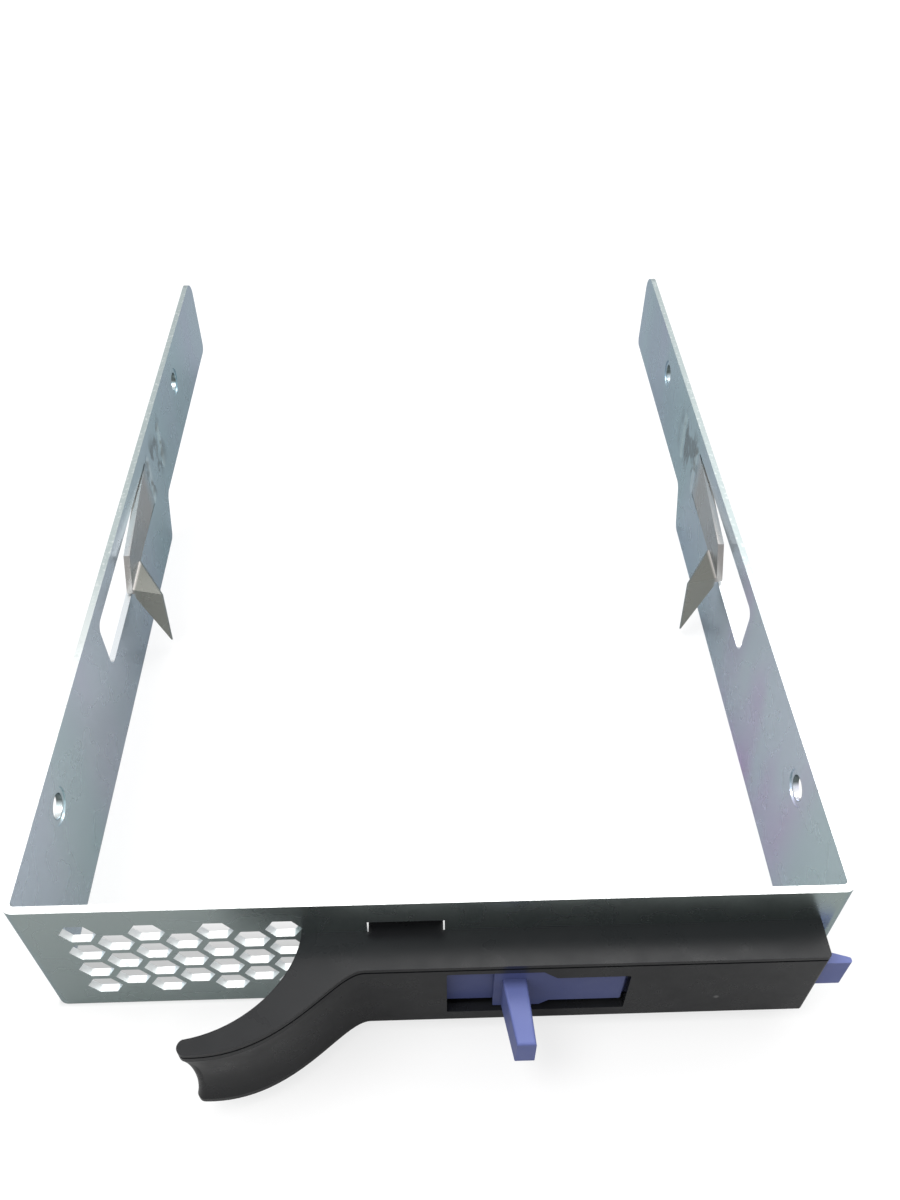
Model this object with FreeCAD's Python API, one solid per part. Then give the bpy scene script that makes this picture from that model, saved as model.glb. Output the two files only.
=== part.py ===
import FreeCAD, Part
import math
import os

# Tray for a 3.5-inch drive: a folded sheet U, a moulded bezel with a pull handle,
# and a sprung sliding latch. Millimetres. +X right as seen from the front,
# +Y back along the rails, +Z up. The origin is the middle of the front web's
# bottom edge, halfway through the sheet.

# ---- drive the tray is made for ----
drive_length = 147.0
drive_width = 101.6
drive_side_gap = 0.2
drive_hole_spacing = 101.6
drive_hole_to_connector = 28.5
drive_front_gap = 1.4
drive_screw_hole_radius = 1.8
drive_screw_ring_radius = 2.7
drive_screw_ring_depth = 0.15

# ---- folded frame ----
sheet = 1.0
frame_height = 26.0
rail_past_drive = 1.6
bend_inside_radius = 0.6
rail_rear_lift = 8.0
rail_step_start = 94.5
rail_step_run = 4.0
rail_step_radius = 2.0
rail_tail_top_radius = 4.0
rail_tail_bottom_radius = 1.5
hole_below_top = 6.6

# ---- window and tongue in each rail ----
window_front = 49.0
window_length = 40.5
window_height = 9.6
window_below_top = 3.2
window_corner_radius = 1.6
tongue_length = 24.2
tongue_clearance = 0.35
tongue_top_set_in = 1.7
tongue_foot_set_in = 0.3
beak_reach = 4.8
beak_drop = 10.2
beak_root = 8.0
beak_shelf_fall = 2.4
crease_depth = 0.35
crease_radius = 2.2
crease_gap = 1.6
crease_spacing = 10.5
crease_lean = -1.0

# ---- vent honeycomb ----
vent_pitch = 4.9
vent_across_flats = 4.0
vent_columns = 7
vent_rows = 4
vent_first_column = -44.0

# ---- bezel and handle ----
bezel_left = -16.5
bezel_right = 49.2
bezel_depth = 5.0
bezel_bottom = 3.5
bezel_top = 19.0
bezel_corner_radius = 0.5
bezel_front_wall = 1.2
bezel_edge_wall = 1.5
lip_height = 0.7
lip_groove = 0.35
handle_tip_x = -30.0
handle_reach = 14.5
handle_tip_thickness = 1.8
handle_front_root_x = -8.5
handle_swing = 10.0
handle_back_swing = 8.5
handle_back_crown = 3.0
handle_scoop_depth = 0.8
handle_scoop_margin = 0.9
handle_waist = 0.7
hook_left = -8.1
hook_width = 9.4
hook_rise = 2.5
hook_root = 2.2
hook_clearance = 0.2
hook_thickness = 1.0

# ---- latch ----
latch_travel = 4.5
running_clearance = 0.25
slot_left = 1.6
slot_right = 24.8
slot_wide_right = 13.7
slot_bottom = 5.8
slot_wide_top = 17.0
slot_narrow_top = 15.2
pad_width = 6.1
pad_end_gap = 1.5
pad_flange = 1.4
pad_set_back = 0.6
bar_bottom = 7.3
bar_height = 7.6
bar_set_back = 1.4
bar_back_gap = 0.4
arm_height = 9.0
arm_end_x = 0.0
blade_left = 8.5
blade_root_width = 3.2
blade_tip_width = 2.4
blade_tip_shift = 0.6
blade_reach = 8.2
blade_top = 14.0
blade_root_height = 7.6
blade_tip_height = 6.2
blade_edge_radius = 0.35
blade_nose_radius = 1.5
bolt_proud = 1.5
bolt_height = 6.0
bolt_tip_thickness = 0.7
bolt_slope_run = 8.0

# ---- spring and screws ----
spring_wire = 0.36
spring_outside = 2.6
spring_turns = 9
spring_pocket_depth = 6.0
spring_stop_x = -8.2
spring_stop_wall = 1.0
boss_radius = 1.8
screw_radius = 0.95
screw_length = 4.6
screw_clearance = 0.2
screw_head_radius = 1.9
screw_head_height = 1.1
screw_recess_radius = 0.75
screw_recess_depth = 0.6
left_screw_x = -11.6
right_screw_x = 33.0

# ---- sizes that follow ----
outer_width = drive_width + 2 * drive_side_gap + 2 * sheet
half_width = outer_width / 2
web_front = -sheet / 2
web_back = sheet / 2
drive_front = web_back + drive_front_gap
rail_end = drive_front + drive_length + rail_past_drive
bend_outside_radius = bend_inside_radius + sheet
hole_z = frame_height - hole_below_top
front_hole_y = drive_front + drive_length - drive_hole_to_connector - drive_hole_spacing
window_top = frame_height - window_below_top
window_bottom = window_top - window_height
window_rear = window_front + window_length
tongue_front = window_rear - tongue_length
tongue_top = window_top - tongue_clearance
tongue_bottom = window_bottom + tongue_clearance
bezel_middle_z = (bezel_bottom + bezel_top) / 2
bezel_inside_depth = bezel_depth - bezel_front_wall
bar_top = bar_bottom + bar_height
bar_middle_z = (bar_bottom + bar_top) / 2
arm_bottom = bar_middle_z - arm_height / 2
arm_top = bar_middle_z + arm_height / 2
pad_left = slot_left + latch_travel + pad_end_gap
pad_right = pad_left + pad_width
pad_bottom = slot_bottom + running_clearance
pad_top = slot_wide_top - running_clearance
bar_front_depth = bezel_depth - bar_set_back
face_depth = bezel_depth - pad_set_back
face_right = slot_right - 2 * running_clearance
bolt_tip_x = half_width + bolt_proud
bolt_bottom = bar_middle_z - bolt_height / 2
bolt_top = bar_middle_z + bolt_height / 2
boss_z = bar_middle_z
spring_end_x = arm_end_x + spring_pocket_depth
spring_depth = bar_back_gap + spring_outside / 2 + running_clearance / 2


def vec(x, y, z):
    return FreeCAD.Vector(x, y, z)


def in_front(depth):
    """Y of a point that lies this far in front of the web's outer face."""
    return web_front - depth


def box(x0, x1, y0, y1, z0, z1):
    return Part.makeBox(x1 - x0, y1 - y0, z1 - z0, vec(x0, y0, z0))


def slab(x0, x1, depth0, depth1, z0, z1):
    """Box given by its depths in front of the web instead of its Y values."""
    return box(x0, x1, in_front(depth1), in_front(depth0), z0, z1)


def rounded_wire(corners, place):
    """Closed outline through (u, v, radius) corners; place turns (u, v) into a point."""
    points = [place(u, v) for u, v, radius in corners]
    count = len(corners)
    pieces = []
    ends = []
    for index in range(count):
        here = points[index]
        back = points[index - 1] - here
        ahead = points[(index + 1) % count] - here
        radius = corners[index][2]
        if radius == 0:
            ends.append((here, here, None))
            continue
        half_angle = back.getAngle(ahead) / 2
        trim = radius / math.tan(half_angle)
        start = here + vec(*back).normalize() * trim
        finish = here + vec(*ahead).normalize() * trim
        bisector = (vec(*back).normalize() + vec(*ahead).normalize()).normalize()
        centre = here + bisector * (radius / math.sin(half_angle))
        ends.append((start, finish, centre - bisector * radius))
    for index in range(count):
        start, finish, middle = ends[index]
        next_start = ends[(index + 1) % count][0]
        if middle is not None:
            pieces.append(Part.Arc(start, middle, finish).toShape())
        if (next_start - finish).Length > 1e-6:
            pieces.append(Part.makeLine(finish, next_start))
    return Part.Wire(pieces)


def side_prism(corners, x0, x1):
    """Outline in (Y, Z) run along X."""
    wire = rounded_wire(corners, lambda y, z: vec(x0, y, z))
    return Part.Face(wire).extrude(vec(x1 - x0, 0, 0))


def front_prism(corners, depth0, depth1):
    """Outline in (X, Z) run from one depth in front of the web to another."""
    wire = rounded_wire(corners, lambda x, z: vec(x, in_front(depth0), z))
    return Part.Face(wire).extrude(vec(0, depth0 - depth1, 0))


def plan_prism(corners, z0, z1):
    """Outline in (X, depth in front of the web) run along Z."""
    wire = rounded_wire(corners, lambda x, depth: vec(x, in_front(depth), z0))
    return Part.Face(wire).extrude(vec(0, 0, z1 - z0))


def mirrored(shape):
    return shape.mirror(vec(0, 0, 0), vec(1, 0, 0))


# ---------------------------------------------------------------- frame

def folded_u():
    """Channel bent from one sheet: web across the front, a rail down each side."""
    outside = box(-half_width, half_width, web_front, rail_end, 0, frame_height)
    inner_half = half_width - sheet
    inside = box(-inner_half, inner_half, web_back, rail_end + sheet, 0, frame_height)
    outside = outside.makeFillet(bend_outside_radius, upright_edges(outside, web_front))
    inside = inside.makeFillet(bend_inside_radius, upright_edges(inside, web_back))
    return outside.cut(inside)


def upright_edges(shape, y):
    chosen = []
    for edge in shape.Edges:
        first, last = edge.Vertexes[0].Point, edge.Vertexes[-1].Point
        upright = abs(first.z - last.z) > sheet
        if upright and abs(first.y - y) < 1e-6 and abs(last.y - y) < 1e-6:
            chosen.append(edge)
    return chosen


def rail_outline():
    """Side view of the frame: full height in front, lifted and rounded at the tail."""
    corners = [
        (web_front, 0, 0),
        (rail_step_start, 0, rail_step_radius),
        (rail_step_start + rail_step_run, rail_rear_lift, rail_step_radius),
        (rail_end, rail_rear_lift, rail_tail_bottom_radius),
        (rail_end, frame_height, rail_tail_top_radius),
        (web_front, frame_height, 0),
    ]
    return side_prism(corners, -half_width, half_width)


def rail_windows():
    corners = [
        (window_front, window_bottom, window_corner_radius),
        (window_rear, window_bottom, 0),
        (window_rear, window_top, 0),
        (window_front, window_top, window_corner_radius),
    ]
    return side_prism(corners, -half_width - sheet, half_width + sheet)


def drive_screw_hole(y):
    """Round hole through the right rail with a shallow pressed ring round it on the inner face."""
    inner_half = half_width - sheet
    hole = Part.makeCylinder(
        drive_screw_hole_radius, 2 * sheet, vec(inner_half - sheet / 2, y, hole_z), vec(1, 0, 0)
    )
    ring = Part.makeCylinder(
        drive_screw_ring_radius, sheet, vec(inner_half - sheet + drive_screw_ring_depth, y, hole_z), vec(1, 0, 0)
    )
    return hole.fuse(ring)


def vent_hole(x, z):
    """Hexagon through the web, with two of its flats level."""
    corner_radius = vent_across_flats / math.sqrt(3)
    points = []
    for step in range(7):
        angle = math.radians(60 * step)
        points.append(
            vec(x + corner_radius * math.cos(angle), web_back + sheet, z + corner_radius * math.sin(angle))
        )
    return Part.Face(Part.makePolygon(points)).extrude(vec(0, -3 * sheet, 0))


def vent_holes():
    """Honeycomb: columns of four and three holes in turn, centred on the web's height."""
    holes = []
    column_step = vent_pitch * math.cos(math.radians(30))
    for column in range(vent_columns):
        rows = vent_rows - column % 2
        for row in range(rows):
            z = frame_height / 2 + (row - (rows - 1) / 2) * vent_pitch
            holes.append(vent_hole(vent_first_column + column * column_step, z))
    return holes


def hook_window():
    """Slot in the web that the bezel's hook goes through."""
    return box(
        hook_left - hook_clearance,
        hook_left + hook_width + hook_clearance,
        web_front - sheet,
        web_back + sheet,
        bezel_top - hook_root - hook_clearance,
        bezel_top + hook_rise,
    )


def screw_passage(x):
    return Part.makeCylinder(
        screw_radius + screw_clearance, 3 * sheet, vec(x, web_back + sheet, boss_z), vec(0, -1, 0)
    )


def leaf_section(y, top_set_in, foot_set_in):
    """Cross-section of the leaf, one sheet thick, each edge set in from the rail's inner face."""
    inner = half_width - sheet
    return Part.makePolygon([
        vec(inner - foot_set_in, y, tongue_bottom),
        vec(half_width - foot_set_in, y, tongue_bottom),
        vec(half_width - top_set_in, y, tongue_top),
        vec(inner - top_set_in, y, tongue_top),
        vec(inner - foot_set_in, y, tongue_bottom),
    ])


def tongue():
    """Leaf lanced from the right rail, rooted behind the window, its top edge turned inward."""
    root = leaf_section(window_rear, 0, 0)
    free_end = leaf_section(tongue_front, tongue_top_set_in, tongue_foot_set_in)
    return Part.makeLoft([root, free_end], True, True)


def beak():
    """Pointed end of the leaf, creased into a shelf and an apron that hangs from it."""
    root_x = half_width - tongue_foot_set_in - sheet / 2
    tip_x = half_width - sheet - beak_reach
    shelf_z = tongue_bottom + sheet
    front_root = vec(root_x, tongue_front, shelf_z)
    rear_root = vec(root_x, tongue_front + beak_root, shelf_z)
    corner = vec(tip_x, tongue_front + sheet, shelf_z - beak_shelf_fall)
    point = vec(tip_x, tongue_front - sheet / 2, shelf_z - beak_shelf_fall - beak_drop)
    through = vec(0, sheet * math.sqrt(0.5), -sheet * math.sqrt(0.5))
    shelf = Part.Face(Part.makePolygon([front_root, rear_root, corner, front_root]))
    apron = Part.Face(Part.makePolygon([front_root, corner, point, front_root]))
    return shelf.extrude(through).fuse(apron.extrude(through))


def root_creases():
    """Two shallow pressed grooves behind the tongue's root, on the rail's inner face."""
    inner = half_width - sheet
    grooves = []
    axis_x = inner - crease_radius + crease_depth
    for count in range(2):
        y = window_rear + crease_gap + count * crease_spacing
        top = vec(axis_x, y, window_top - sheet)
        bottom = vec(axis_x, y + crease_lean, window_bottom + sheet)
        run = bottom - top
        groove = Part.makeCylinder(crease_radius, run.Length, top, run)
        grooves.append(groove.fuse(Part.makeSphere(crease_radius, top)).fuse(
            Part.makeSphere(crease_radius, bottom)
        ))
    return grooves


def make_frame():
    frame = folded_u().common(rail_outline())
    cutters = [rail_windows(), hook_window(), screw_passage(left_screw_x), screw_passage(right_screw_x)]
    cutters += vent_holes()
    for y in (front_hole_y, front_hole_y + drive_hole_spacing):
        hole = drive_screw_hole(y)
        cutters += [hole, mirrored(hole)]
    for groove in root_creases():
        cutters += [groove, mirrored(groove)]
    frame = frame.cut(cutters)
    leaf = tongue().fuse(beak())
    return frame.fuse([leaf, mirrored(leaf)]).removeSplitter()


# ---------------------------------------------------------------- bezel

def bezel_outline(z, inset=0.0, hollow=0.0):
    """Plan of the moulding, a wire at height z.

    The inset draws in its front, its right end and the handle's tip. The hollow, from 0 to 1, is
    how far the handle's front and tip are drawn in towards the bottom of the finger scoop.
    """
    corner = bezel_corner_radius
    lean = corner * (1 - math.sqrt(0.5))
    front_depth = bezel_depth - inset
    reach = handle_reach - inset - hollow * handle_scoop_depth
    tip_x = handle_tip_x + hollow * handle_waist
    right = bezel_right - inset
    front_root = vec(handle_front_root_x, in_front(front_depth), z)
    tip_front = vec(tip_x + 0.5 * handle_tip_thickness, in_front(reach), z)
    tip_middle = vec(tip_x + inset, in_front(handle_reach - 0.6 * handle_tip_thickness), z)
    tip_back = vec(tip_x + 0.3 * handle_tip_thickness, in_front(handle_reach - handle_tip_thickness), z)
    front = Part.BezierCurve()
    front.setPoles([
        front_root,
        vec(handle_front_root_x - 0.4 * handle_swing, in_front(front_depth), z),
        vec(handle_front_root_x - 0.9 * handle_swing, in_front(reach + 0.5), z),
        tip_front,
    ])
    back = Part.BezierCurve()
    back.setPoles([
        tip_back,
        vec(handle_tip_x + handle_back_swing, in_front(handle_reach - handle_back_crown), z),
        vec(bezel_left - 0.1, in_front(bezel_depth), z),
        vec(bezel_left, in_front(0), z),
    ])
    corner_start = vec(right, in_front(front_depth - corner), z)
    corner_middle = vec(right - lean, in_front(front_depth - lean), z)
    corner_end = vec(right - corner, in_front(front_depth), z)
    return Part.Wire([
        front.toShape(),
        Part.Arc(tip_front, tip_middle, tip_back).toShape(),
        back.toShape(),
        Part.makeLine(vec(bezel_left, in_front(0), z), vec(right, in_front(0), z)),
        Part.makeLine(vec(right, in_front(0), z), corner_start),
        Part.Arc(corner_start, corner_middle, corner_end).toShape(),
        Part.makeLine(corner_end, front_root),
    ])


def layer(low, high, inset=0.0):
    return Part.Face(bezel_outline(low, inset)).extrude(vec(0, 0, high - low))


def scooped_layer(low, high):
    """Layer whose handle is hollowed by an arc from its lower edge to its upper edge."""
    steps = 8
    sections = []
    for step in range(steps + 1):
        offset = 2 * step / steps - 1
        z = low + (high - low) * step / steps
        sections.append(bezel_outline(z, hollow=1 - offset ** 2))
    return Part.makeLoft(sections, True, False)


def moulding():
    """Bezel and handle in layers: lower lip, finger scoop, upper lip, fine set-in line, top plate."""
    plate_bottom = bezel_top - lip_height
    groove_bottom = plate_bottom - lip_groove
    scoop_low = bezel_bottom + handle_scoop_margin
    scoop_high = groove_bottom - handle_scoop_margin
    return layer(bezel_bottom, scoop_low).fuse([
        scooped_layer(scoop_low, scoop_high),
        layer(scoop_high, groove_bottom),
        layer(groove_bottom, plate_bottom, inset=lip_groove),
        layer(plate_bottom, bezel_top),
    ])


def latch_slot():
    """Slot in the front wall: a wide end for the pad, then 45 degree shoulders to a narrow end."""
    shoulder = slot_wide_top - slot_narrow_top
    corners = [
        (slot_left, slot_bottom, 0.3),
        (slot_right, slot_bottom, 0.3),
        (slot_right, slot_narrow_top, 0.3),
        (slot_wide_right + shoulder, slot_narrow_top, 0),
        (slot_wide_right, slot_wide_top, 0),
        (slot_left, slot_wide_top, 0.3),
    ]
    return front_prism(corners, bezel_inside_depth - 0.1, bezel_depth + 0.1)


def bezel_ledges():
    """Ledges inside the bezel that guide the latch above and below, and the spring's stop rib."""
    floor = bezel_bottom + bezel_edge_wall - lip_groove
    ceiling = bezel_top - bezel_edge_wall + lip_groove
    narrow_left = slot_wide_right + slot_wide_top - slot_narrow_top + pad_width / 2
    spans = (
        (narrow_left, bezel_right - bezel_edge_wall, bar_bottom, bar_top),
        (spring_stop_x, slot_left - running_clearance, arm_bottom, arm_top),
    )
    pieces = []
    for x0, x1, low, high in spans:
        pieces.append(slab(x0, x1, 0, bezel_inside_depth, floor, low - running_clearance))
        pieces.append(slab(x0, x1, 0, bezel_inside_depth, high + running_clearance, ceiling))
    pieces.append(slab(
        spring_stop_x - spring_stop_wall, spring_stop_x, 0, bezel_inside_depth, floor, ceiling
    ))
    return pieces


def screw_boss(x):
    return Part.makeCylinder(boss_radius, bezel_inside_depth, vec(x, in_front(0), boss_z), vec(0, -1, 0))


def screw_bore(x):
    depth = screw_length - sheet
    return Part.makeCylinder(screw_radius, depth, vec(x, in_front(0), boss_z), vec(0, -1, 0))


def bezel_hook():
    """Tab through the web and up behind it, which locates the bezel before it is screwed down."""
    left = hook_left
    right = hook_left + hook_width
    low = bezel_top - hook_root
    behind = web_back + hook_clearance
    tab = box(left, right, in_front(bezel_edge_wall), behind + hook_thickness, low, bezel_top)
    nose = box(left, right, behind, behind + hook_thickness, low, bezel_top + hook_rise + sheet)
    return [tab, nose]


def bolt_window():
    """Opening in the right-hand end wall that the bolt slides through."""
    return slab(
        bezel_right - bezel_edge_wall - 0.1, bezel_right + 0.1, 0, bar_front_depth + running_clearance,
        bolt_bottom - running_clearance, bolt_top + running_clearance,
    )


def make_bezel():
    cavity = slab(
        bezel_left + 2 * bezel_edge_wall, bezel_right - bezel_edge_wall, 0, bezel_inside_depth,
        bezel_bottom + bezel_edge_wall, bezel_top - bezel_edge_wall,
    )
    body = moulding().cut([cavity, latch_slot(), bolt_window()])
    body = body.fuse(bezel_ledges() + [screw_boss(left_screw_x), screw_boss(right_screw_x)] + bezel_hook())
    return body.cut([screw_bore(left_screw_x), screw_bore(right_screw_x)]).removeSplitter()


# ---------------------------------------------------------------- latch

def latch_pad():
    """Raised face that shows in the slot: a pad, and a narrower bar to its right."""
    shoulder = slot_wide_top - slot_narrow_top
    gap = running_clearance
    pad_shoulder = bar_bottom - pad_bottom
    pad = [
        (pad_left, pad_bottom, 0.3),
        (pad_right, pad_bottom, 0),
        (pad_right + pad_shoulder, bar_bottom, 0),
        (face_right, bar_bottom, 0.3),
        (face_right, slot_narrow_top - gap, 0.3),
        (slot_wide_right + shoulder - gap, slot_narrow_top - gap, 0),
        (slot_wide_right - gap, pad_top, 0),
        (pad_left, pad_top, 0.3),
    ]
    return front_prism(pad, bezel_inside_depth + running_clearance / 2, face_depth)


def latch_blade():
    """Finger blade: tapers in plan and in height towards a rounded tip."""
    root_y = in_front(bar_front_depth)
    tip_y = in_front(face_depth + blade_reach)
    blade_right = blade_left + blade_root_width
    sections = []
    for y, right, width, bottom in (
        (root_y, blade_right, blade_root_width, blade_top - blade_root_height),
        (tip_y, blade_right + blade_tip_shift, blade_tip_width, blade_top - blade_tip_height),
    ):
        corners = [
            (right - width, bottom, blade_edge_radius),
            (right, bottom, blade_edge_radius),
            (right, blade_top, blade_edge_radius),
            (right - width, blade_top, blade_edge_radius),
        ]
        sections.append(rounded_wire(corners, lambda x, z, y=y: vec(x, y, z)))
    blade = Part.makeLoft(sections, True, True)
    side_view = [
        (tip_y, blade_top - blade_tip_height, blade_nose_radius),
        (root_y, blade_top - blade_root_height, 0),
        (root_y, blade_top, 0),
        (tip_y, blade_top, blade_edge_radius),
    ]
    return blade.common(side_prism(side_view, blade_left - sheet, blade_right + sheet))


def latch_bar():
    """Straight slider: bar behind the slot, thinner arm to its left, bolt at its right end."""
    bar = slab(pad_left, bezel_right - 2 * bezel_edge_wall, bar_back_gap, bar_front_depth, bar_bottom, bar_top)
    arm = slab(arm_end_x, pad_left + 1, bar_back_gap, bar_front_depth, arm_bottom, arm_top)
    slope_start = bolt_tip_x - bolt_slope_run
    bolt = plan_prism(
        [
            (bezel_right - 3 * bezel_edge_wall, bar_back_gap, 0),
            (slope_start, bar_back_gap, 0),
            (bolt_tip_x, bar_front_depth - bolt_tip_thickness, 0.3),
            (bolt_tip_x, bar_front_depth, 0.3),
            (bezel_right - 3 * bezel_edge_wall, bar_front_depth, 0),
        ],
        bolt_bottom, bolt_top,
    )
    return [bar, arm, bolt]


def boss_slot():
    """Slot in the bar that rides on the right-hand boss and sets the bar's travel."""
    radius = boss_radius + running_clearance
    start = vec(right_screw_x, in_front(0), boss_z)
    near = Part.makeCylinder(radius, bezel_depth, start, vec(0, -1, 0))
    far = near.translated(vec(latch_travel + running_clearance, 0, 0))
    between = slab(
        right_screw_x, right_screw_x + latch_travel + running_clearance, 0, bezel_depth,
        boss_z - radius, boss_z + radius,
    )
    return near.fuse([far, between])


def spring_pocket():
    half = spring_outside / 2 + running_clearance
    return slab(
        arm_end_x - 0.1, spring_end_x, 0, spring_depth + half,
        bar_middle_z - half, bar_middle_z + half,
    )


def make_latch():
    parts = latch_bar() + [latch_pad(), latch_blade()]
    body = parts[0].fuse(parts[1:])
    return body.cut([boss_slot(), spring_pocket()]).removeSplitter()


# ---------------------------------------------------------------- spring and screws

def make_spring():
    """Compression coil from the stop rib to the bottom of the latch's pocket."""
    coil_radius = (spring_outside - spring_wire) / 2
    length = spring_end_x - spring_stop_x - spring_wire
    pitch = length / spring_turns
    helix = Part.makeHelix(pitch, length, coil_radius)
    profile = Part.Wire([Part.Circle(vec(coil_radius, 0, 0), vec(0, 1, 0), spring_wire / 2).toShape()])
    coil = Part.Wire(helix).makePipeShell([profile], True, True)
    coil.rotate(vec(0, 0, 0), vec(0, 1, 0), 90)
    coil.translate(vec(spring_stop_x + spring_wire / 2, in_front(spring_depth), bar_middle_z))
    return coil


def make_screw(x):
    """Thread-forming screw, head behind the web, shank in the bezel's boss."""
    seat = vec(x, web_back, boss_z)
    shank = Part.makeCylinder(screw_radius, screw_length, seat, vec(0, -1, 0))
    head = Part.makeCylinder(screw_head_radius, screw_head_height, seat, vec(0, 1, 0))
    rim = [edge for edge in head.Edges if abs(edge.CenterOfMass.y - web_back - screw_head_height) < 1e-6]
    head = head.makeFillet(screw_head_height / 3, rim)
    recess_base = vec(x, web_back + screw_head_height - screw_recess_depth, boss_z)
    recess = Part.makeCone(
        screw_recess_radius / 3, screw_recess_radius, screw_recess_depth, recess_base, vec(0, 1, 0)
    )
    return shank.fuse(head).cut(recess).removeSplitter()


nodes = {
    "tray_frame": make_frame,
    "bezel_handle": make_bezel,
    "release_latch": make_latch,
    "latch_spring": make_spring,
    "bezel_screw_left": lambda: make_screw(left_screw_x),
    "bezel_screw_right": lambda: make_screw(right_screw_x),
}

os.makedirs("parts", exist_ok=True)
for name, make in nodes.items():
    shape = make()
    shape.exportStep(os.path.join("parts", name + ".step"))
    bounds = shape.BoundBox
    print(
        name, "solids", len(shape.Solids), "valid", shape.isValid(), "volume %.1f" % shape.Volume,
        "x %.2f %.2f  y %.2f %.2f  z %.2f %.2f" % (
            bounds.XMin, bounds.XMax, bounds.YMin, bounds.YMax, bounds.ZMin, bounds.ZMax
        ),
    )
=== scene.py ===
import math

import bpy
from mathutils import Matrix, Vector

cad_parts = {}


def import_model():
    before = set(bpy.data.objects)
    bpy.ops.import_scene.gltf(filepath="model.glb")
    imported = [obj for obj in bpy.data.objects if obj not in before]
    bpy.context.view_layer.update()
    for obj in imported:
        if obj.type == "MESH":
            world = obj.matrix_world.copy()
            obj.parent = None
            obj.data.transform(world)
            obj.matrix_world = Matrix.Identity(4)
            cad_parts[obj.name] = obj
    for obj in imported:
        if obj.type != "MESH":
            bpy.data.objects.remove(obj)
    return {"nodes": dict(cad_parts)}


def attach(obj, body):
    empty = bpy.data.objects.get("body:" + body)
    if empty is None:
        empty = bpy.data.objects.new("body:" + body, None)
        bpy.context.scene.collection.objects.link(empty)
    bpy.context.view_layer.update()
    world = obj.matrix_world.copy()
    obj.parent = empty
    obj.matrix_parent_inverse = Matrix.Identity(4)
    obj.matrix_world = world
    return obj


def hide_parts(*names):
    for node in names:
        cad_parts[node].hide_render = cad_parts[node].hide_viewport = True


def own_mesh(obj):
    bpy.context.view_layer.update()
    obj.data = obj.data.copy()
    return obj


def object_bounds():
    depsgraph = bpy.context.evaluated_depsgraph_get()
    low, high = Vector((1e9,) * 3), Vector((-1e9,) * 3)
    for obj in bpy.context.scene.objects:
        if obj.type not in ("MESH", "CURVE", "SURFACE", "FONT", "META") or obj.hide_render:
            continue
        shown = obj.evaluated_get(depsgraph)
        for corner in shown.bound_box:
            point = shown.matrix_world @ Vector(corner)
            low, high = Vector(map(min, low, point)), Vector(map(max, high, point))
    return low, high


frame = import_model()
cad_low, cad_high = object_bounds()

MM = 0.001
scene = bpy.context.scene
scene.view_settings.view_transform = "Standard"


# ------------------------------------------------------------ node helpers

class Tree:
    """The node tree of a material or world, with a short way to add a node and link its inputs."""

    def __init__(self, owner):
        self.owner = owner
        owner.use_nodes = True
        self.nodes = owner.node_tree.nodes
        self.links = owner.node_tree.links
        self.nodes.clear()

    def feed(self, socket, value):
        """Links a socket to the input, or writes a plain value on it."""
        if isinstance(value, bpy.types.NodeSocket):
            self.links.new(value, socket)
        else:
            socket.default_value = value

    def add(self, kind, inputs=None, **settings):
        node = self.nodes.new(kind)
        for key, value in settings.items():
            setattr(node, key, value)
        for key, value in (inputs or {}).items():
            self.feed(node.inputs[key], value)
        return node

    def maths(self, operation, first, second=0.0):
        return self.add("ShaderNodeMath", {0: first, 1: second}, operation=operation).outputs[0]

    def product(self, first, *others):
        for other in others:
            first = self.maths("MULTIPLY", first, other)
        return first

    def place(self):
        return self.add("ShaderNodeTexCoord").outputs["Object"]

    def axes(self, vector):
        return self.add("ShaderNodeSeparateXYZ", {"Vector": vector}).outputs

    def noise(self, scale, detail=3.0, roughness=0.5, at=None):
        node = self.add("ShaderNodeTexNoise", {
            "Vector": at or self.place(), "Scale": scale, "Detail": detail,
            "Roughness": roughness,
        })
        return node.outputs["Fac"]

    def upright(self, share):
        """The place, with its height scaled down, so that a pattern on it is drawn out upwards."""
        node = self.add("ShaderNodeMapping", {"Vector": self.place(), "Scale": (1.0, 1.0, share)})
        return node.outputs["Vector"]

    def span(self, value, low, high, out_low=0.0, out_high=1.0):
        """Maps low..high to out_low..out_high, and holds the ends."""
        node = self.add("ShaderNodeMapRange", {
            "Value": value, "From Min": low, "From Max": high,
            "To Min": out_low, "To Max": out_high,
        })
        return node.outputs["Result"]

    def above(self, value, edge, blur):
        """0 up to the edge, rising to 1 over the blur."""
        return self.span(value, edge, edge + blur)

    def below(self, value, edge, blur):
        """0 from the edge on, rising to 1 over the blur beneath it."""
        return self.span(value, edge, edge - blur)

    def mix(self, share, first, second, blend="MIX"):
        node = self.add("ShaderNodeMix", data_type="RGBA", blend_type=blend)
        factor, first_colour, second_colour = node.inputs[0], node.inputs[6], node.inputs[7]
        self.feed(factor, share)
        self.feed(first_colour, first)
        self.feed(second_colour, second)
        return node.outputs[2]

    def bump(self, height, strength, distance):
        return self.add("ShaderNodeBump", {
            "Height": height, "Strength": strength, "Distance": distance,
        }).outputs["Normal"]

    def surface(self, inputs):
        shader = self.add("ShaderNodeBsdfPrincipled", inputs)
        self.add("ShaderNodeOutputMaterial", {"Surface": shader.outputs["BSDF"]})
        return self.owner


def material_tree(name):
    return Tree(bpy.data.materials.new(name))


def colour(red, green, blue):
    return (red, green, blue, 1.0)


def grey(value):
    return colour(value, value, value)


def scaled(tone, factor):
    return colour(*(factor * channel for channel in tone[:3]))


# ------------------------------------------------------------ zinc-plated sheet

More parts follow.
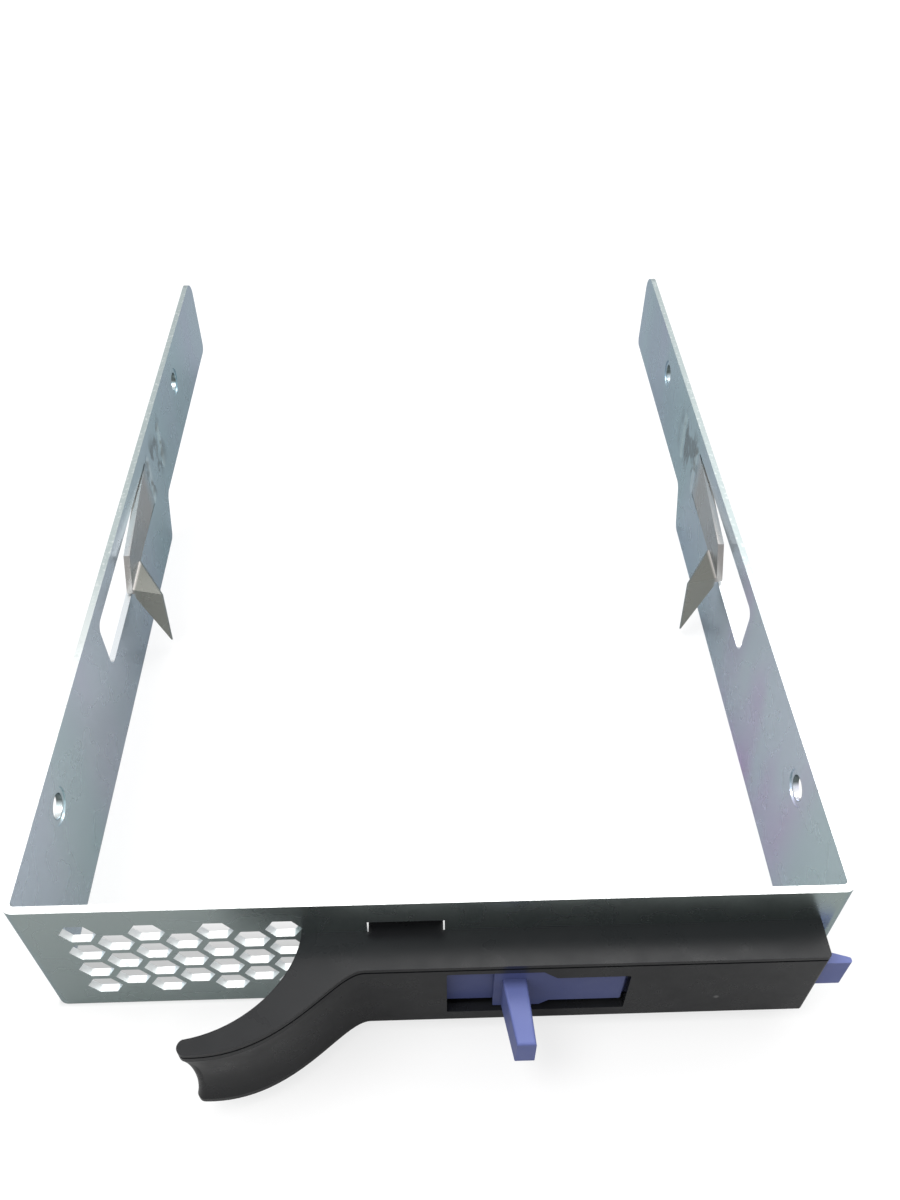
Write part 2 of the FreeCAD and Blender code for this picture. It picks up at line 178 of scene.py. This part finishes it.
# Where things lie on the tray, in metres.
sheet = 1.0 * MM
web_back = sheet / 2
rail_outside = -cad_low.x
rail_inside = rail_outside - sheet
sheet_top = cad_high.z
window_bottom = 13.2 * MM
window_top = 22.8 * MM
window_rear = 89.5 * MM
tongue_front = 65.3 * MM
beak_top = 14.8 * MM
drive_hole_z = 19.4 * MM
drive_hole_radius = 1.8 * MM
drive_holes_y = (18.8 * MM, 120.4 * MM)
bezel_left = -16.5 * MM
bezel_right = 49.2 * MM
bezel_face = -5.5 * MM

RAIL_COOL = colour(0.84, 0.91, 1.0)
RAIL_PALE = colour(0.9, 0.96, 1.0)
VIOLET = colour(0.88, 0.7, 0.96)
TEAL = colour(0.76, 0.94, 0.92)
# painted shade: the plate is darkened towards the rear
REAR_PAINTED_SHADE = colour(0.7, 0.76, 0.8)
# painted shade: grey for the web's face
WEB_PAINTED_SHADE = colour(0.47, 0.54, 0.5)
# the tongues' brownish tint, darkened by painted shade
LEAF_TINT_AND_SHADE = colour(0.64, 0.61, 0.58)
# painted shade on the beak, darkest on its level faces
BEAK_PAINTED_SHADE = colour(0.42, 0.43, 0.39)
BEAK_LEVEL_PAINTED_SHADE = colour(0.22, 0.225, 0.205)
# painted shade in the pressed creases
CREASE_PAINTED_SHADE = colour(0.3, 0.34, 0.35)
SHADE = colour(0.03, 0.03, 0.03)
# painted shade for the walls of the drive-screw holes
HOLE_WALL_PAINTED_SHADE = colour(0.2, 0.24, 0.24)
EDGE_TINT = colour(0.72, 0.8, 0.86)
CUT_GREY = colour(0.66, 0.7, 0.69)
CUT_WHITE = colour(0.98, 1.0, 0.99)
# painted shade: sheared edges darker towards the rear
CUT_REAR_PAINTED_SHADE = colour(0.46, 0.52, 0.52)


def plating(t, x, y, web):
    """Cool and pale clouds, a violet and teal cast in upright streaks, painted shade darker to the
    rear, and painted shade grey on the web.
    """
    cloud = t.noise(16.0, detail=1.5)
    plate = t.mix(t.span(cloud, 0.35, 0.65), RAIL_COOL, RAIL_PALE)
    streak = t.noise(60.0, detail=1.5, at=t.upright(0.4))
    right_side = t.span(x, 0.0, rail_outside, 0.2, 1.0)
    before_window = t.product(t.above(y, 8.0 * MM, 20.0 * MM), t.below(y, 62.0 * MM, 22.0 * MM))
    near_rear = t.above(y, 105.0 * MM, 35.0 * MM)
    either_end = t.maths("MAXIMUM", before_window, near_rear)
    plate = t.mix(t.product(t.span(streak, 0.4, 0.56), right_side, either_end), plate, VIOLET)
    tint = t.noise(30.0, detail=1.0, at=t.upright(0.5))
    plate = t.mix(t.product(t.span(tint, 0.5, 0.64), 0.6), plate, TEAL)
    # painted shade: the plate grows darker towards the rear
    rearward_painted_shade = t.above(y, 20.0 * MM, 90.0 * MM)
    plate = t.mix(rearward_painted_shade, plate, t.mix(1.0, plate, REAR_PAINTED_SHADE, "MULTIPLY"))
    # painted shade: the web's face is painted a darker grey
    return t.mix(t.product(web, 0.85), plate, WEB_PAINTED_SHADE)


def drive_hole_wall_shade(t, y, z, facing_up, base):
    """Paints shade on the walls of the drive-screw holes, apart from the lowest part, which faces
    up.
    """
    rise = t.maths("SUBTRACT", z, drive_hole_z)
    for hole_y in drive_holes_y:
        along = t.maths("SUBTRACT", y, hole_y)
        squares = t.maths("ADD", t.product(along, along), t.product(rise, rise))
        near_wall = t.below(t.maths("SQRT", squares), drive_hole_radius + 0.1 * MM, 0.05 * MM)
        wall_shade = t.product(near_wall, t.below(facing_up, 0.75, 0.3))
        base = t.mix(wall_shade, base, HOLE_WALL_PAINTED_SHADE)
    return base


def zinc_sheet():
    """Zinc plate: coloured cast, brownish tongues, pale sheared edges, and painted shade on the
    tongues, in the pressed creases, in the holes and behind the bezel.
    """
    t = material_tree("zinc_sheet_plate")
    x, y, z = t.axes(t.place())
    side = t.maths("ABSOLUTE", x)
    _, facing_back, facing_up = t.axes(t.add("ShaderNodeNewGeometry").outputs["Normal"])
    level = t.above(t.maths("ABSOLUTE", facing_up), 0.8, 0.15)
    through = t.below(t.maths("ABSOLUTE", facing_back), 0.6, 0.3)
    web = t.below(y, web_back + 0.7 * MM, 0.4 * MM)
    plate = plating(t, x, y, web)

    beside_window = t.product(
        t.above(y, tongue_front - 1.1 * MM, 0.4 * MM),
        t.below(y, window_rear + 1.0 * MM, 4.5 * MM),
    )
    leaf = t.product(
        beside_window, t.above(z, window_bottom + 0.1 * MM, 0.2 * MM),
        t.below(z, window_top - 0.2 * MM, 0.1 * MM),
    )
    beak = t.product(
        beside_window, t.below(side, rail_inside - 0.4 * MM, 0.4 * MM),
        t.below(z, beak_top, 0.2 * MM),
    )
    # painted shade on the beak: darker all over, darkest on faces that lie level
    facet_shade = t.mix(t.span(t.maths("ABSOLUTE", facing_up), 0.3, 0.8), BEAK_PAINTED_SHADE, BEAK_LEVEL_PAINTED_SHADE)
    # the leaf's brownish tint, darkened by painted shade
    plate = t.mix(leaf, plate, LEAF_TINT_AND_SHADE)
    plate = t.mix(beak, plate, facet_shade)
    tongue = t.maths("MAXIMUM", leaf, beak)

    pressed = t.product(
        t.above(y, window_rear - 1.5 * MM, 2.5 * MM),
        t.below(y, window_rear + 16.5 * MM, 5.0 * MM),
        t.above(z, window_bottom - 0.7 * MM, 3.0 * MM),
        t.below(z, window_top + 1.7 * MM, 3.0 * MM),
        t.below(side, rail_outside - 0.1 * MM, 0.3 * MM),
    )
    ripple = t.noise(280.0, detail=2.5, roughness=0.6, at=t.upright(0.7))
    # painted shade in the pressed creases, streaked by the ripple
    plate = t.mix(t.product(pressed, t.span(ripple, 0.48, 0.56), 0.9), plate, CREASE_PAINTED_SHADE)

    at_top = t.above(z, sheet_top - 0.5 * MM, 0.2 * MM)
    rim = t.product(level, t.maths("MAXIMUM", at_top, web))
    vent = t.product(
        web, through, t.below(x, bezel_left - 0.5 * MM, 0.4 * MM),
        t.below(side, rail_inside - 1.2 * MM, 0.4 * MM),
    )
    cut = t.maths("MAXIMUM", rim, vent)
    other_edge = t.product(level, t.maths("SUBTRACT", 1.0, tongue), 0.55)
    nick = t.noise(1500.0, detail=1.0)
    # painted shade: the sheared edges grow darker towards the rear
    rear_edge_shade = t.product(rim, t.above(y, 25.0 * MM, 35.0 * MM))
    sheared = t.mix(rear_edge_shade, CUT_WHITE, CUT_REAR_PAINTED_SHADE)
    sheared = t.mix(t.product(rim, t.span(nick, 0.45, 0.3), 0.8), sheared, CUT_GREY)
    base = t.mix(t.maths("MAXIMUM", cut, other_edge), plate, sheared)

    behind_bezel = t.product(
        web, through, t.below(side, 14.0 * MM, 1.0 * MM),
        t.below(z, sheet_top - 0.3 * MM, 0.2 * MM),
    )
    base = t.mix(behind_bezel, base, SHADE)
    base = drive_hole_wall_shade(t, y, z, facing_up, base)

    fine = t.noise(150.0, detail=2.0)
    rough = t.maths("ADD", t.span(fine, 0.3, 0.7, 0.25, 0.3), t.product(cut, 0.2))
    height = t.maths("ADD", t.product(fine, 0.05), t.product(nick, rim, 0.6))
    height = t.maths("ADD", height, t.product(ripple, pressed, 2.0))
    return t.surface({
        "Base Color": base, "Metallic": 1.0, "Roughness": rough, "Specular Tint": EDGE_TINT,
        "Normal": t.bump(height, 0.06, 0.05 * MM),
    })


# ------------------------------------------------------------ mouldings, screws and wire

def moulding(name, base, speck, roughness, specks, recess_shade=0.0):
    """Satin moulded plastic: fine grain, faint flow clouds, a few tiny specks.

    A recess shade above 0 paints shade on what lies behind the bezel's face, but not on the bolt
    past its end.
    """
    t = material_tree(name)
    grain = t.noise(2600.0, detail=2.0)
    cloud = t.noise(45.0, detail=3.0)
    body = t.mix(t.span(cloud, 0.3, 0.7), base, scaled(base, 1.25))
    if recess_shade:
        x, y, _ = t.axes(t.place())
        behind_face = t.above(y, bezel_face - 0.7 * MM, 1.0 * MM)
        inside = t.product(behind_face, t.below(x, bezel_right - 1.2 * MM, 2.0 * MM), recess_shade)
        # painted shade behind the bezel's face
        body = t.mix(inside, body, scaled(base, 0.45))
    dots = t.add("ShaderNodeTexVoronoi", {"Vector": t.place(), "Scale": 160.0, "Randomness": 1.0})
    chosen = t.span(t.noise(70.0, detail=0.0), 0.62, 0.64)
    dot = t.product(t.span(dots.outputs["Distance"], 0.07, 0.04), chosen)
    body = t.mix(t.product(dot, specks), body, speck)
    rough = t.span(t.noise(300.0, detail=3.0), 0.3, 0.7, roughness - 0.05, roughness + 0.06)
    return t.surface({
        "Base Color": body, "Roughness": rough, "IOR": 1.35,
        "Normal": t.bump(grain, 0.10, 0.03 * MM),
    })


def plated(name, base, roughness):
    """Small bright steel parts: plated screws and drawn spring wire."""
    t = material_tree(name)
    fine = t.noise(900.0, detail=3.0)
    return t.surface({
        "Base Color": t.mix(t.span(fine, 0.3, 0.7), base, scaled(base, 0.8)), "Metallic": 1.0,
        "Roughness": t.span(fine, 0.3, 0.7, roughness - 0.06, roughness + 0.08),
        "Normal": t.bump(fine, 0.08, 0.02 * MM),
    })


BLACK = colour(0.009, 0.0095, 0.0105)
BLACK_SPECK = grey(0.16)
BLUE = colour(0.106, 0.13, 0.315)
BLUE_SPECK = colour(0.4, 0.42, 0.7)
WIRE = grey(0.45)
SCREW = colour(0.6, 0.63, 0.66)

looks = {
    "tray_frame": zinc_sheet(),
    "bezel_handle": moulding(
        "black_moulding", BLACK, BLACK_SPECK, roughness=0.3, specks=0.7
    ),
    "release_latch": moulding(
        "blue_moulding", BLUE, BLUE_SPECK, roughness=0.38, specks=0.3, recess_shade=0.6
    ),
    "latch_spring": plated("spring_wire", WIRE, roughness=0.3),
    "bezel_screw_left": plated("zinc_screw", SCREW, roughness=0.28),
}
looks["bezel_screw_right"] = looks["bezel_screw_left"]

for node_name, material in looks.items():
    part = frame["nodes"][node_name]
    if not part.material_slots:
        part.data.materials.append(material)
    for part_slot in part.material_slots:
        part_slot.material = material


# ------------------------------------------------------------ return spring

def return_spring():
    """The latch's coil spring as a piece of its own, held on the tray."""
    spring = bpy.data.objects.new("return_spring", frame["nodes"]["latch_spring"].data.copy())
    scene.collection.objects.link(spring)
    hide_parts("latch_spring")
    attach(spring, "tray")
    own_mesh(spring)


return_spring()


# ------------------------------------------------------------ stage, light and camera

FLOOR_SEEN = grey(0.92)
FLOOR_LIGHTING = grey(0.34)
# a painted shadow on the floor close behind the web
FLOOR_PAINTED_SHADOW = grey(0.55)
WHITE = grey(1.0)


def floor():
    """Floor just under the part: white to the camera, with a painted shadow close behind the web.

    It is darker to every other ray, so that the black plastic doesn't mirror it too brightly.
    """
    half = 3.0
    drop = cad_low.z - 0.05 * MM
    own_light = 0.72
    corners = [(-half, -half, drop), (half, -half, drop), (half, half, drop), (-half, half, drop)]
    mesh = bpy.data.meshes.new("floor")
    mesh.from_pydata(corners, [], [(0, 1, 2, 3)])
    plane = bpy.data.objects.new("floor", mesh)
    scene.collection.objects.link(plane)

    t = material_tree("floor_white")
    x, y, _ = t.axes(t.place())
    # a painted shadow on the floor close behind the web, faded at its ends
    painted_web_shadow = t.product(
        t.below(y, 14.0 * MM, 7.0 * MM), t.above(y, -1.0 * MM, 1.5 * MM),
        t.below(t.maths("ABSOLUTE", x), rail_outside, 0.6 * MM),
    )
    seen = t.add("ShaderNodeLightPath").outputs["Is Camera Ray"]
    tone = t.mix(seen, FLOOR_LIGHTING, t.mix(painted_web_shadow, FLOOR_SEEN, FLOOR_PAINTED_SHADOW))
    matte = t.add("ShaderNodeBsdfDiffuse", {"Color": tone})
    glow_tone = t.mix(painted_web_shadow, WHITE, FLOOR_PAINTED_SHADOW)
    glow = t.add("ShaderNodeEmission", {"Color": glow_tone, "Strength": 1.0})
    blend = t.add("ShaderNodeMixShader", {
        0: t.product(seen, own_light), 1: matte.outputs[0], 2: glow.outputs[0],
    })
    t.add("ShaderNodeOutputMaterial", {"Surface": blend.outputs[0]})
    plane.data.materials.append(t.owner)


def world():
    """Plain surround: white to the camera and through clear material, fading down elsewhere."""
    t = Tree(bpy.data.worlds.new("studio"))
    _, _, height = t.axes(t.add("ShaderNodeTexCoord").outputs["Generated"])
    fade = t.span(height, -0.1, 0.9, out_low=0.4)
    lit = t.add("ShaderNodeBackground", {"Color": fade, "Strength": 1.0})
    white = t.add("ShaderNodeBackground", {"Color": WHITE, "Strength": 1.0})
    path = t.add("ShaderNodeLightPath").outputs
    seen = t.maths("MAXIMUM", path["Is Camera Ray"], path["Is Transmission Ray"])
    blend = t.add("ShaderNodeMixShader", {0: seen, 1: lit.outputs[0], 2: white.outputs[0]})
    t.add("ShaderNodeOutputWorld", {"Surface": blend.outputs[0]})
    scene.world = t.owner


def lamp(name, offset, size, power):
    """Round lamp at an offset from the middle of the part, turned towards it."""
    light = bpy.data.lights.new(name, "AREA")
    light.shape = "DISK"
    light.size = size
    light.energy = power
    holder = bpy.data.objects.new(name, light)
    holder.location = (cad_low + cad_high) / 2 + Vector(offset)
    holder.rotation_euler = (-Vector(offset)).to_track_quat("-Z", "Y").to_euler()
    scene.collection.objects.link(holder)


def camera():
    """Looks down at the bezel from a little in front of it and close above."""
    place = (0.24 * MM, -60.24 * MM, 140.88 * MM)
    turn_degrees = (43.88, -0.06, -1.7)
    data = bpy.data.cameras.new("camera")
    data.sensor_width = 36.0
    data.lens = 30.87
    data.clip_start = 0.01
    data.clip_end = 10.0
    holder = bpy.data.objects.new("camera", data)
    holder.location = place
    holder.rotation_euler = [math.radians(angle) for angle in turn_degrees]
    scene.collection.objects.link(holder)
    scene.camera = holder


floor()
world()
lamp("key", offset=(-0.35, -0.15, 0.75), size=0.5, power=3.8)
lamp("fill", offset=(0.5, 0.35, 0.6), size=0.6, power=2.0)
lamp("overhead", offset=(0.1, 0.3, 0.75), size=0.4, power=1.3)
camera()
